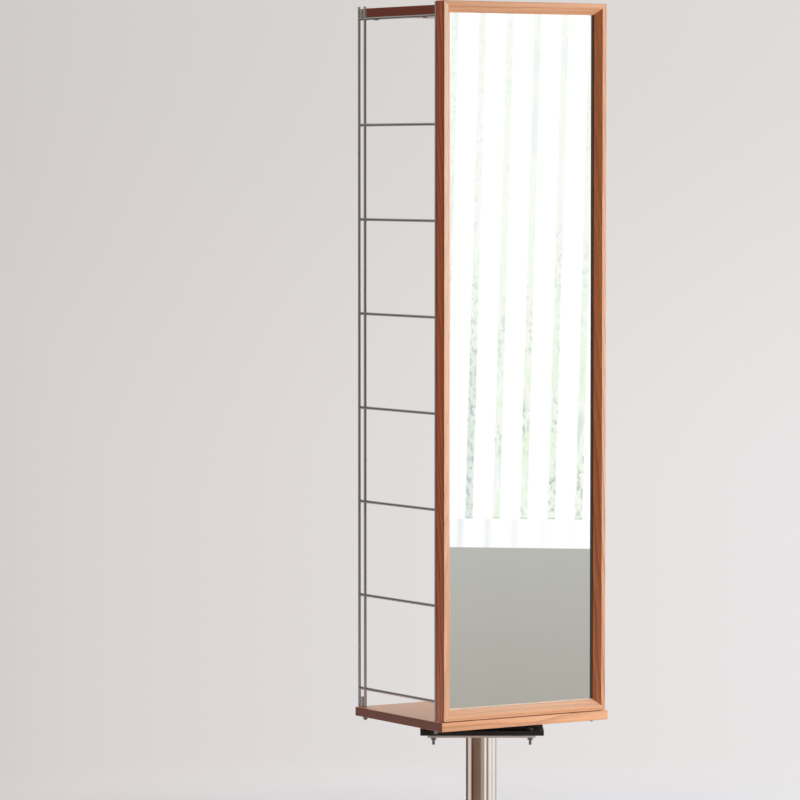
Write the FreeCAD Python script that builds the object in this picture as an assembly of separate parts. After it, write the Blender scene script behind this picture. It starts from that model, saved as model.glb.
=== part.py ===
import FreeCAD, Part
import math
import os
from FreeCAD import Vector

# A floor mirror that turns on a post, with a storage bay behind the mirror between two rod ladders.
# All sizes are in millimetres. The origin is on the floor, on the axis of the post.
# X runs along the width of the mirror, the mirror faces -Y, and Z is up.

# Base disc and its pads
base_diameter = 440.0
base_thickness = 12.0
base_edge_radius = 3.0
pad_count = 6
pad_diameter = 26.0
pad_height = 4.0
pad_recess = 1.0
pad_inset = 24.0

# Post, and the plug and bolt that hold it on the disc
post_diameter = 65.0
post_wall = 2.5
plug_height = 30.0
foot_bolt_diameter = 12.0
foot_bolt_head_diameter = 24.0
foot_bolt_length = 36.0

# Steel head plate on the post, and the black slab of the turntable on it
base_turn_degrees = 32.4
head_plate_size = 230.0
head_plate_thickness = 6.0
head_plate_corner_radius = 4.0
slab_size = 260.0
slab_thickness = 10.0
slab_corner_radius = 3.0
slab_edge_radius = 0.8

# Bolts that hold the slab on the head plate
slab_bolt_diameter = 6.0
slab_bolt_pitch = 203.5
slab_bolt_head_diameter = 10.5
slab_bolt_head_height = 4.0
slab_bolt_drop = 16.0
slab_nut_flats = 10.0
slab_nut_height = 5.0
slab_washer_diameter = 12.0
slab_washer_thickness = 1.2

# Turntable: two square plates with a ball race on each
lower_plate_thickness = 2.0
turning_plate_thickness = 3.0
turntable_size = 190.0
turntable_corner_radius = 10.0
turntable_screw_inset = 14.0
lower_screw_diameter = 3.5
lower_screw_length = 9.0
turning_screw_diameter = 4.0
turning_screw_length = 16.0
bearing_height = 8.0
race_pitch_diameter = 150.0
race_width = 28.0
race_thickness = 2.8
ball_count = 24
ball_diameter = 6.0
ball_clearance = 0.3
cage_width = 18.0
cage_thickness = 1.4
rivet_count = 4
rivet_diameter = 4.0
rivet_edge = 5.0

# Pivot bolt with its bush, washer and nut
pivot_diameter = 10.0
pivot_head_flats = 16.0
pivot_head_height = 6.4
pivot_nut_height = 8.0
pivot_washer_diameter = 20.0
pivot_washer_thickness = 1.6
pivot_end_length = 1.5
bush_diameter = 16.0
bush_flange_diameter = 22.0
bush_flange_thickness = 1.2
pivot_play = 0.3
nut_recess_diameter = 28.0
nut_recess_spare = 1.5

# Boards
board_top_height = 310.0
board_side_reveal = 6.0
board_depth = 342.0
board_thickness = 19.0
board_edge_radius = 1.2

# Mirror frame
frame_width = 407.0
frame_height = 1492.5
frame_depth = 32.0
frame_member_width = 24.0
frame_face_width = 10.0
frame_bevel_depth = 15.0
frame_lip = 4.0
frame_rebate = 8.0
frame_edge_radius = 1.0
frame_setback = 2.0
frame_gap = 1.5
key_size = 10.0
key_thickness = 3.0
key_inset = 3.0

# Glass, backing and beads
glass_thickness = 4.0
glass_clearance = 1.0
backing_thickness = 3.0
layer_clearance = 0.2
bead_width = 6.5
bead_depth = 5.0

# Screws and packers between the bottom board and the frame
foot_screw_spread = 280.0
foot_screw_diameter = 4.0
foot_screw_depth = 13.0
packer_length = 30.0
packer_width = 18.0

# Rod ladders
upright_diameter = 6.3
rung_diameter = 6.3
upright_side_inset = 13.0
front_upright_offset = 9.5
upright_pair_spacing = 23.3
outer_upright_clearance = 0.3
front_tip_drop = 0.5
rear_tip_drop = 3.5
upright_tip_chamfer = 0.6
outer_upright_foot_rise = 2.0
rung_count = 7
rung_pitch = 200.0
first_rung_height = 40.0
peg_diameter = 8.0
foot_peg_height = 22.0
top_peg_height = 18.0
peg_edge_chamfer = 0.5
upright_nut_flats = 9.0
upright_nut_height = 5.0
upright_washer_diameter = 12.0
upright_washer_thickness = 1.2
upright_end_length = 2.0

# Top board
top_board_drop = 7.5
top_board_upright_gap = 1.0

# Brackets that tie the front uprights to the frame
bracket_count = 3
bracket_end_distance = 150.0
bracket_width = 13.0
bracket_length = 40.0
bracket_thickness = 2.0
bracket_ear_gap = 14.0
bracket_screw_diameter = 3.5
bracket_screw_length = 14.0
bracket_screw_spread = 30.0
bracket_outer_margin = 1.0

# Clips that tie the top board to the top rungs
clip_width = 12.0
clip_thickness = 0.8
clip_tongue = 18.0
clip_end_distance = 40.0
clip_screw_diameter = 3.0
clip_screw_length = 12.0
clip_rod_clearance = 0.2

# Clearances, and the overrun of every cut
hole_clearance = 0.1
running_clearance = 0.08
cut_overrun = 2.0

# Shares of a screw or hexagon head
socket_flats_share = 0.42
socket_depth_share = 0.6

# Angles
full_turn = 360.0
quarter_turn = 90.0
hexagon_sides = 6

# Heights of the base, the post and the turntable
disc_bottom = pad_height - pad_recess
disc_top = disc_bottom + base_thickness
board_bottom = board_top_height - board_thickness
turning_plate_bottom = board_bottom - turning_plate_thickness
lower_plate_top = turning_plate_bottom - bearing_height
slab_top = lower_plate_top - lower_plate_thickness
head_plate_top = slab_top - slab_thickness
head_plate_bottom = head_plate_top - head_plate_thickness
ball_height = lower_plate_top + bearing_height / 2

# Places of the frame
board_width = frame_width + 2 * board_side_reveal
board_front = -board_depth / 2
frame_front = board_front + frame_setback
frame_back = frame_front + frame_depth
frame_bottom = board_top_height + frame_gap
frame_top = frame_bottom + frame_height
frame_left = -frame_width / 2
frame_right = frame_width / 2
glass_front = frame_front + frame_bevel_depth + frame_lip
glass_back = glass_front + glass_thickness
backing_front = glass_back + layer_clearance
backing_back = backing_front + backing_thickness
frame_shoulder = frame_member_width - frame_rebate

# Places of the ladders
upright_radius = upright_diameter / 2
rung_radius = rung_diameter / 2
upright_x = board_width / 2 - upright_side_inset
front_upright_y = frame_back + front_upright_offset
outer_upright_y = board_depth / 2 + outer_upright_clearance + upright_radius
inner_upright_y = outer_upright_y - upright_pair_spacing
peg_y = outer_upright_y - upright_pair_spacing / 2
front_upright_top = frame_top - front_tip_drop
rear_upright_top = frame_top - rear_tip_drop
outer_upright_foot = board_bottom + outer_upright_foot_rise
upright_end = board_bottom - upright_washer_thickness - upright_nut_height - upright_end_length

# Places of the top board and the rungs
top_board_top = frame_top - top_board_drop
top_board_bottom = top_board_top - board_thickness
top_board_front = front_upright_y + upright_radius + top_board_upright_gap
top_board_back = inner_upright_y - upright_radius - top_board_upright_gap
top_rung_height = top_board_bottom - rung_radius
ladder_rung_heights = [
    board_top_height + first_rung_height + index * rung_pitch for index in range(rung_count)
]
rung_heights = ladder_rung_heights + [top_rung_height]

# Directions
origin = Vector(0, 0, 0)
right = Vector(1, 0, 0)
back = Vector(0, 1, 0)
up = Vector(0, 0, 1)


def block(x_range, y_range, z_range):
    """A box between two values on each axis."""
    corner = Vector(x_range[0], y_range[0], z_range[0])
    sizes = [span[1] - span[0] for span in (x_range, y_range, z_range)]
    return Part.makeBox(sizes[0], sizes[1], sizes[2], corner)


def cylinder(x, y, z_low, z_high, diameter):
    """An upright cylinder between two heights."""
    return Part.makeCylinder(diameter / 2, z_high - z_low, Vector(x, y, z_low), up)


def ring(z_low, z_high, outer_diameter, inner_diameter):
    """A flat ring round the post's axis."""
    outer = cylinder(0, 0, z_low, z_high, outer_diameter)
    inner = cylinder(0, 0, z_low - cut_overrun, z_high + cut_overrun, inner_diameter)
    return outer.cut(inner)


def washer(x, y, z_low, z_high, outer_diameter, inner_diameter):
    """A flat ring at a place of its own."""
    flat = ring(z_low, z_high, outer_diameter, inner_diameter)
    return flat.translated(Vector(x, y, 0))


def hexagon(x, y, z_low, z_high, flats):
    """An upright hexagonal prism, given the distance across its flats."""
    radius = flats / 2 / math.cos(math.pi / hexagon_sides)
    corners = []
    for index in range(hexagon_sides + 1):
        angle = math.radians(full_turn * index / hexagon_sides)
        corners.append(Vector(x + radius * math.cos(angle), y + radius * math.sin(angle), z_low))
    face = Part.Face(Part.makePolygon(corners))
    return face.extrude(Vector(0, 0, z_high - z_low))


def hex_nut(x, y, z_low, z_high, flats, hole_diameter):
    """A hexagonal nut with its corners turned down."""
    crown_diameter = flats / math.cos(math.pi / hexagon_sides)
    crown = cylinder(x, y, z_low, z_high, crown_diameter)
    drop = (crown_diameter - flats) / 2
    rounds = [edge for edge in crown.Edges if isinstance(edge.Curve, Part.Circle)]
    crown = crown.makeChamfer(drop / 2, drop, rounds)
    body = hexagon(x, y, z_low, z_high, flats).common(crown)
    hole = cylinder(x, y, z_low - cut_overrun, z_high + cut_overrun, hole_diameter)
    return body.cut(hole)


def vertical_edges(shape):
    """The straight edges of a shape that stand upright."""
    chosen = []
    for edge in shape.Edges:
        if isinstance(edge.Curve, Part.Line) and abs(edge.tangentAt(edge.FirstParameter).z) > abs(
            edge.tangentAt(edge.FirstParameter).x
        ) + abs(edge.tangentAt(edge.FirstParameter).y):
            chosen.append(edge)
    return chosen


def level_edges(shape):
    """The edges of a shape that lie level."""
    return [edge for edge in shape.Edges if edge.BoundBox.ZLength < cut_overrun]


def square_plate(size, z_low, z_high, corner_radius):
    """A square plate on the post's axis with round corners."""
    half = (-size / 2, size / 2)
    plate = block(half, half, (z_low, z_high))
    return plate.makeFillet(corner_radius, vertical_edges(plate))


def countersunk_screw(diameter, head_diameter, length, growth):
    """A screw that points up, with the flat of its head at the origin."""
    head_radius = head_diameter / 2 + growth
    shank_radius = diameter / 2 + growth
    head_height = (head_diameter - diameter) / 2
    head = Part.makeCone(head_radius, shank_radius, head_height, origin, up)
    shank = Part.makeCylinder(shank_radius, length + growth, origin, up)
    return head.fuse(shank).removeSplitter()


def socket(head_diameter, head_height):
    """The hexagonal hole for the driver in a screw's head."""
    depth = head_height * socket_depth_share
    return hexagon(0, 0, -cut_overrun, depth, head_diameter * socket_flats_share)


def driven_screw(diameter, head_diameter, length):
    """A screw with its driver hole."""
    head_height = (head_diameter - diameter) / 2
    return countersunk_screw(diameter, head_diameter, length, 0).cut(socket(head_diameter, head_height))


def head_of(diameter):
    """The diameter of a countersunk head: twice the shank's."""
    return diameter * 2


def turned(shape):
    """The shape turned with the square base, which stands at an angle to the mirror at rest."""
    return shape.rotated(origin, up, -base_turn_degrees)


def both_sides(shape):
    """A shape on the left and its mirror image on the right."""
    return [shape, shape.mirror(origin, right)]


def cut_all(shape, tools):
    """The shape with each tool taken away."""
    for tool in tools:
        shape = shape.cut(tool)
    return shape


# Base


def pad_centres():
    radius = base_diameter / 2 - pad_inset
    angles = [math.radians(full_turn * index / pad_count) for index in range(pad_count)]
    return [(radius * math.cos(angle), radius * math.sin(angle)) for angle in angles]


def make_base_pads():
    pads = []
    for x, y in pad_centres():
        pads.append(cylinder(x, y, 0, pad_height, pad_diameter))
    return pads


def make_base_disc():
    disc = cylinder(0, 0, disc_bottom, disc_top, base_diameter)
    rims = [edge for edge in disc.Edges if isinstance(edge.Curve, Part.Circle)]
    top_rim = [edge for edge in rims if edge.Curve.Center.z > disc_top - cut_overrun]
    disc = disc.makeFillet(base_edge_radius, top_rim)
    recess_diameter = pad_diameter + 2 * hole_clearance
    for x, y in pad_centres():
        disc = disc.cut(cylinder(x, y, disc_bottom - cut_overrun, pad_height, recess_diameter))
    hole = countersunk_screw(
        foot_bolt_diameter, foot_bolt_head_diameter, base_thickness + cut_overrun, hole_clearance
    )
    return disc.cut(hole.translated(Vector(0, 0, disc_bottom)))


def make_foot_bolt():
    bolt = driven_screw(foot_bolt_diameter, foot_bolt_head_diameter, foot_bolt_length)
    return bolt.translated(Vector(0, 0, disc_bottom))


def post_bore():
    return post_diameter - 2 * post_wall


def make_foot_plug():
    plug = cylinder(0, 0, disc_top, disc_top + plug_height, post_bore() - 2 * hole_clearance)
    hole_diameter = foot_bolt_diameter + 2 * hole_clearance
    return plug.cut(cylinder(0, 0, disc_top - cut_overrun, disc_top + plug_height + cut_overrun, hole_diameter))


def make_post_tube():
    return ring(disc_top, head_plate_bottom, post_diameter, post_bore())


def slab_bolt_places():
    half = slab_bolt_pitch / 2
    return [(x, y) for x in (-half, half) for y in (-half, half)]


def slab_bolt_holes(z_low, z_high):
    diameter = slab_bolt_diameter + 2 * hole_clearance
    return [cylinder(x, y, z_low, z_high, diameter) for x, y in slab_bolt_places()]


def pivot_hole(z_low, z_high):
    return cylinder(0, 0, z_low, z_high, pivot_diameter + 2 * hole_clearance)


def make_head_plate():
    plate = square_plate(head_plate_size, head_plate_bottom, head_plate_top, head_plate_corner_radius)
    low = head_plate_bottom - cut_overrun
    high = head_plate_top + cut_overrun
    return turned(cut_all(plate, slab_bolt_holes(low, high) + [pivot_hole(low, high)]))


def make_slab():
    slab = square_plate(slab_size, head_plate_top, slab_top, slab_corner_radius)
    slab = slab.makeFillet(slab_edge_radius, level_edges(slab))
    low = head_plate_top - cut_overrun
    high = slab_top + cut_overrun
    screws = lower_plate_screws(hole_clearance)
    return turned(cut_all(slab, slab_bolt_holes(low, high) + [pivot_hole(low, high)] + screws))


def make_slab_bolts():
    bolts = []
    head_top = slab_top + slab_bolt_head_height
    for x, y in slab_bolt_places():
        shank = cylinder(x, y, head_plate_bottom - slab_bolt_drop, slab_top, slab_bolt_diameter)
        head = cylinder(x, y, slab_top, head_top, slab_bolt_head_diameter)
        drive_flats = slab_bolt_head_diameter * socket_flats_share
        drive_bottom = head_top - slab_bolt_head_height * socket_depth_share
        drive = hexagon(x, y, drive_bottom, head_top + cut_overrun, drive_flats)
        bolts.append(turned(shank.fuse(head).cut(drive).removeSplitter()))
    return bolts


def make_slab_washers():
    top = head_plate_bottom
    hole = slab_bolt_diameter + 2 * hole_clearance
    low = top - slab_washer_thickness
    return [turned(washer(x, y, low, top, slab_washer_diameter, hole)) for x, y in slab_bolt_places()]


def make_slab_nuts():
    top = head_plate_bottom - slab_washer_thickness
    hole = slab_bolt_diameter + 2 * hole_clearance
    low = top - slab_nut_height
    return [turned(hex_nut(x, y, low, top, slab_nut_flats, hole)) for x, y in slab_bolt_places()]


# Turntable


def ball_groove():
    return Part.makeTorus(
        race_pitch_diameter / 2, ball_diameter / 2 + ball_clearance, Vector(0, 0, ball_height), up
    )


def rivet_radius():
    return race_pitch_diameter / 2 + race_width / 2 - rivet_edge


def rivet_places():
    angles = [math.radians(full_turn * (index + 1 / 2) / rivet_count) for index in range(rivet_count)]
    return [(rivet_radius() * math.cos(angle), rivet_radius() * math.sin(angle)) for angle in angles]


def rivet_holes(z_low, z_high):
    diameter = rivet_diameter + 2 * hole_clearance
    return [cylinder(x, y, z_low, z_high, diameter) for x, y in rivet_places()]


def make_race(z_low, z_high):
    outer = race_pitch_diameter + race_width
    inner = race_pitch_diameter - race_width
    race = ring(z_low, z_high, outer, inner)
    return cut_all(race, [ball_groove()] + rivet_holes(z_low - cut_overrun, z_high + cut_overrun))


def make_lower_race():
    return turned(make_race(lower_plate_top, lower_plate_top + race_thickness))


def make_upper_race():
    return make_race(turning_plate_bottom - race_thickness, turning_plate_bottom)


def make_lower_rivets():
    top = lower_plate_top + race_thickness
    return [turned(cylinder(x, y, slab_top, top, rivet_diameter)) for x, y in rivet_places()]


def make_upper_rivets():
    low = turning_plate_bottom - race_thickness
    return [cylinder(x, y, low, board_bottom, rivet_diameter) for x, y in rivet_places()]


def ball_places():
    radius = race_pitch_diameter / 2
    angles = [math.radians(full_turn * index / ball_count) for index in range(ball_count)]
    return [Vector(radius * math.cos(angle), radius * math.sin(angle), ball_height) for angle in angles]


def make_bearing_balls():
    return [Part.makeSphere(ball_diameter / 2, place) for place in ball_places()]


def make_ball_cage():
    low = ball_height - cage_thickness / 2
    high = ball_height + cage_thickness / 2
    cage = ring(low, high, race_pitch_diameter + cage_width, race_pitch_diameter - cage_width)
    hole_diameter = ball_diameter + 2 * ball_clearance
    for place in ball_places():
        cage = cage.cut(cylinder(place.x, place.y, low - cut_overrun, high + cut_overrun, hole_diameter))
    return cage


# Pivot bolt


def pivot_washer_bottom():
    return board_bottom + pivot_play


def pivot_nut_bottom():
    return pivot_washer_bottom() + pivot_washer_thickness


def pivot_nut_top():
    return pivot_nut_bottom() + pivot_nut_height


def make_pivot_bolt():
    tip = pivot_nut_top() + pivot_end_length
    shank = cylinder(0, 0, head_plate_bottom, tip, pivot_diameter)
    head = hexagon(0, 0, head_plate_bottom - pivot_head_height, head_plate_bottom, pivot_head_flats)
    return turned(shank.fuse(head).removeSplitter())


def make_pivot_washer():
    hole = pivot_diameter + 2 * hole_clearance
    return ring(pivot_washer_bottom(), pivot_nut_bottom(), pivot_washer_diameter, hole)


def make_pivot_nut():
    hole = pivot_diameter + 2 * hole_clearance
    return turned(hex_nut(0, 0, pivot_nut_bottom(), pivot_nut_top(), pivot_head_flats, hole))


def make_pivot_bush():
    body = cylinder(0, 0, turning_plate_bottom, board_bottom, bush_diameter)
    flange_bottom = turning_plate_bottom - bush_flange_thickness
    flange = cylinder(0, 0, flange_bottom, turning_plate_bottom, bush_flange_diameter)
    bore_diameter = pivot_diameter + 2 * running_clearance
    bore = cylinder(0, 0, flange_bottom - cut_overrun, board_bottom + cut_overrun, bore_diameter)
    return body.fuse(flange).removeSplitter().cut(bore)


# Plates of the turntable


def turntable_screw_places():
    reach = turntable_size / 2 - turntable_screw_inset
    return [(x, y) for x in (-reach, reach) for y in (-reach, reach)]


def lower_plate_screw(growth):
    """A screw that points down, with the flat of its head at the origin."""
    if growth:
        screw = countersunk_screw(
            lower_screw_diameter, head_of(lower_screw_diameter), lower_screw_length, growth
        )
    else:
        screw = driven_screw(lower_screw_diameter, head_of(lower_screw_diameter), lower_screw_length)
    return screw.rotated(origin, right, 2 * quarter_turn)


def lower_plate_screws(growth):
    screw = lower_plate_screw(growth)
    return [screw.translated(Vector(x, y, lower_plate_top)) for x, y in turntable_screw_places()]


def make_lower_plate():
    plate = square_plate(turntable_size, slab_top, lower_plate_top, turntable_corner_radius)
    low = slab_top - cut_overrun
    high = lower_plate_top + cut_overrun
    tools = [pivot_hole(low, high)] + rivet_holes(low, high) + lower_plate_screws(hole_clearance)
    return turned(cut_all(plate, tools))


def make_lower_plate_screws():
    return [turned(screw) for screw in lower_plate_screws(0)]


def turning_screw_at(x, y, growth):
    screw = countersunk_screw(
        turning_screw_diameter, head_of(turning_screw_diameter), turning_screw_length, growth
    )
    return screw.translated(Vector(x, y, turning_plate_bottom))


def make_turning_plate():
    plate = square_plate(turntable_size, turning_plate_bottom, board_bottom, turntable_corner_radius)
    low = turning_plate_bottom - cut_overrun
    high = board_bottom + cut_overrun
    bush_hole = cylinder(0, 0, low, high, bush_diameter + 2 * hole_clearance)
    screws = [turning_screw_at(x, y, hole_clearance) for x, y in turntable_screw_places()]
    return cut_all(plate, [bush_hole] + rivet_holes(low, high) + screws)


def make_turning_plate_screws():
    screws = []
    for x, y in turntable_screw_places():
        screw = driven_screw(turning_screw_diameter, head_of(turning_screw_diameter), turning_screw_length)
        screws.append(screw.translated(Vector(x, y, turning_plate_bottom)))
    return screws


# Bottom board, with the screws and packers that carry the frame


def foot_screw_places():
    y = frame_front + frame_depth / 2
    return [(-foot_screw_spread / 2, y), (foot_screw_spread / 2, y)]


def foot_screw_length():
    return board_thickness + frame_gap + foot_screw_depth


def foot_screw_at(x, y, growth):
    screw = countersunk_screw(foot_screw_diameter, head_of(foot_screw_diameter), foot_screw_length(), growth)
    return screw.translated(Vector(x, y, board_bottom))


def make_frame_foot_screws():
    screws = []
    for x, y in foot_screw_places():
        screw = driven_screw(foot_screw_diameter, head_of(foot_screw_diameter), foot_screw_length())
        screws.append(screw.translated(Vector(x, y, board_bottom)))
    return screws


def make_frame_packers():
    packers = []
    for x, y in foot_screw_places():
        packer = block(
            (x - packer_length / 2, x + packer_length / 2),
            (y - packer_width / 2, y + packer_width / 2),
            (board_top_height, frame_bottom),
        )
        packers.append(packer.cut(foot_screw_at(x, y, hole_clearance)))
    return packers


def rounded_board(x_range, y_range, z_range):
    board = block(x_range, y_range, z_range)
    return board.makeFillet(board_edge_radius, board.Edges)


def make_bottom_board():
    half = (-board_width / 2, board_width / 2)
    board = rounded_board(half, (board_front, board_depth / 2), (board_bottom, board_top_height))
    recess_top = pivot_nut_top() + pivot_end_length + nut_recess_spare
    tools = [cylinder(0, 0, board_bottom - cut_overrun, recess_top, nut_recess_diameter)]
    hole_diameter = upright_diameter + 2 * hole_clearance
    for x in (-upright_x, upright_x):
        for y in (front_upright_y, inner_upright_y):
            low = board_bottom - cut_overrun
            tools.append(cylinder(x, y, low, board_top_height + cut_overrun, hole_diameter))
    tools += [turning_screw_at(x, y, hole_clearance) for x, y in turntable_screw_places()]
    tools += [foot_screw_at(x, y, hole_clearance) for x, y in foot_screw_places()]
    return cut_all(board, tools)


def clip_screw_places():
    x = upright_x - clip_bend_inset() - clip_tongue / 2
    ys = (top_board_front + clip_end_distance, top_board_back - clip_end_distance)
    return [(side * x, y) for side in (-1, 1) for y in ys]


def clip_screw_at(x, y, growth):
    screw = countersunk_screw(clip_screw_diameter, head_of(clip_screw_diameter), clip_screw_length, growth)
    return screw.translated(Vector(x, y, top_board_bottom - clip_thickness))


def make_top_board():
    board = rounded_board(
        (-upright_x, upright_x), (top_board_front, top_board_back), (top_board_bottom, top_board_top)
    )
    return cut_all(board, [clip_screw_at(x, y, hole_clearance) for x, y in clip_screw_places()])


# Mirror frame


def member_profile():
    """The section of a frame member: across from its outer edge, and back from its face."""
    across = [
        (frame_edge_radius, 0),
        (frame_face_width, 0),
        (frame_member_width, frame_bevel_depth),
        (frame_member_width, frame_bevel_depth + frame_lip),
        (frame_shoulder, frame_bevel_depth + frame_lip),
        (frame_shoulder, frame_depth),
        (frame_edge_radius, frame_depth),
        (0, frame_depth - frame_edge_radius),
        (0, frame_edge_radius),
    ]
    points = [Vector(0, depth, distance) for distance, depth in across]
    edges = [Part.makeLine(start, end) for start, end in zip(points[:-1], points[1:])]
    round_share = 1 - math.sqrt(1 / 2)
    middle = Vector(0, frame_edge_radius * round_share, frame_edge_radius * round_share)
    edges.append(Part.Arc(points[-1], middle, points[0]).toShape())
    return Part.Face(Part.Wire(edges))


def mitred_member(length):
    """A member along X from the origin, with its outer edge below and its face at y = 0."""
    bar = member_profile().extrude(Vector(length, 0, 0))
    reach = frame_member_width + cut_overrun
    corners = [
        Vector(0, -cut_overrun, 0),
        Vector(length, -cut_overrun, 0),
        Vector(length - reach, -cut_overrun, reach),
        Vector(reach, -cut_overrun, reach),
        Vector(0, -cut_overrun, 0),
    ]
    trapezium = Part.Face(Part.makePolygon(corners))
    mitre = trapezium.extrude(Vector(0, frame_depth + 2 * cut_overrun, 0))
    return bar.common(mitre)


def corner_key_at(x_sign, z_base, z_sign, growth):
    """The flat key across one mitre, from the frame's outer corner inwards."""
    x_corner = x_sign * frame_right
    xs = sorted((x_corner - x_sign * (key_inset - growth), x_corner - x_sign * (key_inset + key_size + growth)))
    zs = sorted((z_base + z_sign * (key_inset - growth), z_base + z_sign * (key_inset + key_size + growth)))
    y_middle = (glass_front + frame_back) / 2
    half = key_thickness / 2 + growth
    return block(xs, (y_middle - half, y_middle + half), zs)


def corner_keys(growth):
    keys = []
    for x_sign in (-1, 1):
        keys.append(corner_key_at(x_sign, frame_bottom, 1, growth))
        keys.append(corner_key_at(x_sign, frame_top, -1, growth))
    return keys


def make_bottom_rail():
    rail = mitred_member(frame_width).translated(Vector(frame_left, frame_front, frame_bottom))
    screws = [foot_screw_at(x, y, hole_clearance) for x, y in foot_screw_places()]
    return cut_all(rail, corner_keys(hole_clearance) + screws)


def make_top_rail():
    rail = mitred_member(frame_width).translated(Vector(frame_left, frame_front, 0))
    rail = rail.mirror(origin, up).translated(Vector(0, 0, frame_top))
    return cut_all(rail, corner_keys(hole_clearance))


def make_left_stile():
    stile = mitred_member(frame_height).rotated(origin, back, quarter_turn)
    stile = stile.translated(Vector(frame_left, frame_front, frame_top))
    return cut_all(stile, corner_keys(hole_clearance) + bracket_screws_left(hole_clearance))


def bracket_heights():
    low = frame_bottom + bracket_end_distance
    high = frame_top - bracket_end_distance
    step = (high - low) / (bracket_count - 1)
    return [low + index * step for index in range(bracket_count)]


def bracket_inner_x():
    return -upright_x - upright_radius - bracket_outer_margin + bracket_width


def bracket_screw_x():
    return bracket_inner_x() - bracket_width / 2


def bracket_screw_at(z, growth):
    """A screw that points forward from the back of a bracket into the left stile."""
    if growth:
        screw = countersunk_screw(
            bracket_screw_diameter, head_of(bracket_screw_diameter), bracket_screw_length, growth
        )
    else:
        screw = driven_screw(bracket_screw_diameter, head_of(bracket_screw_diameter), bracket_screw_length)
    screw = screw.rotated(origin, right, quarter_turn)
    return screw.translated(Vector(bracket_screw_x(), frame_back + bracket_thickness, z))


def bracket_screws_left(growth):
    half = bracket_screw_spread / 2
    return [bracket_screw_at(z + side * half, growth) for z in bracket_heights() for side in (-1, 1)]


def make_frame_brackets():
    """Plates on the backs of the stiles, each with two ears that seat the upright up to its middle."""
    brackets = []
    x_range = (bracket_inner_x() - bracket_width, bracket_inner_x())
    ear_x = (-upright_x, bracket_inner_x())
    hole_diameter = upright_diameter + 2 * hole_clearance
    for z in bracket_heights():
        half = bracket_length / 2
        body = block(x_range, (frame_back, frame_back + bracket_thickness), (z - half, z + half))
        for side in (-1, 1):
            middle = z + side * bracket_ear_gap / 2
            ear_z = (middle - bracket_thickness / 2, middle + bracket_thickness / 2)
            body = body.fuse(block(ear_x, (frame_back, front_upright_y), ear_z))
        body = body.removeSplitter()
        body = body.cut(cylinder(-upright_x, front_upright_y, z - half, z + half, hole_diameter))
        brackets += both_sides(cut_all(body, bracket_screws_left(hole_clearance)))
    return brackets


def make_frame_bracket_screws():
    screws = []
    for screw in bracket_screws_left(0):
        screws += both_sides(screw)
    return screws


def panel_range(clearance):
    """The width and height of a panel that sits in the rebate."""
    inset = frame_shoulder + clearance
    return (frame_left + inset, frame_right - inset), (frame_bottom + inset, frame_top - inset)


def make_mirror_glass():
    x_range, z_range = panel_range(glass_clearance)
    return block(x_range, (glass_front, glass_back), z_range)


def make_mirror_backing():
    x_range, z_range = panel_range(glass_clearance)
    return block(x_range, (backing_front, backing_back), z_range)


def make_backing_beads():
    x_range, z_range = panel_range(0)
    y_range = (backing_back, backing_back + bead_depth)
    beads = []
    for z_low in (z_range[0], z_range[1] - bead_width):
        beads.append(block(x_range, y_range, (z_low, z_low + bead_width)))
    inner_z = (z_range[0] + bead_width, z_range[1] - bead_width)
    for x_low in (x_range[0], x_range[1] - bead_width):
        beads.append(block((x_low, x_low + bead_width), y_range, inner_z))
    return beads


# Ladders


def tipped_rod(y, z_low, z_high):
    """A left upright with both ends chamfered."""
    rod = cylinder(-upright_x, y, z_low, z_high, upright_diameter)
    rims = [edge for edge in rod.Edges if isinstance(edge.Curve, Part.Circle)]
    return rod.makeChamfer(upright_tip_chamfer, rims)


def make_left_uprights():
    return {
        "front": tipped_rod(front_upright_y, upright_end, front_upright_top),
        "inner": tipped_rod(inner_upright_y, upright_end, rear_upright_top),
        "outer": tipped_rod(outer_upright_y, outer_upright_foot, rear_upright_top),
    }


def make_left_rungs(uprights):
    """Rungs that run from the front upright past the inner rear one to the outer one."""
    rungs = []
    for z in rung_heights:
        start = Vector(-upright_x, front_upright_y, z)
        bar = Part.makeCylinder(rung_radius, outer_upright_y - front_upright_y, start, back)
        rungs += cut_all(bar, uprights.values()).Solids
    return rungs


def make_left_pegs():
    foot = cylinder(-upright_x, peg_y, board_top_height, board_top_height + foot_peg_height, peg_diameter)
    top = cylinder(-upright_x, peg_y, top_board_bottom, top_board_bottom + top_peg_height, peg_diameter)
    pegs = []
    for peg in (foot, top):
        rims = [edge for edge in peg.Edges if isinstance(edge.Curve, Part.Circle)]
        pegs.append(peg.makeChamfer(peg_edge_chamfer, rims))
    return pegs


def make_upright_washers():
    hole = upright_diameter + 2 * hole_clearance
    low = board_bottom - upright_washer_thickness
    flats = []
    for y in (front_upright_y, inner_upright_y):
        flats += both_sides(washer(-upright_x, y, low, board_bottom, upright_washer_diameter, hole))
    return flats


def make_upright_nuts():
    hole = upright_diameter + 2 * hole_clearance
    top = board_bottom - upright_washer_thickness
    nuts = []
    for y in (front_upright_y, inner_upright_y):
        nuts += both_sides(hex_nut(-upright_x, y, top - upright_nut_height, top, upright_nut_flats, hole))
    return nuts


# Clips under the top board


def clip_bend_inset():
    """How far inside the rung's centre line a clip turns down."""
    return rung_radius + clip_rod_clearance + clip_thickness


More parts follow.
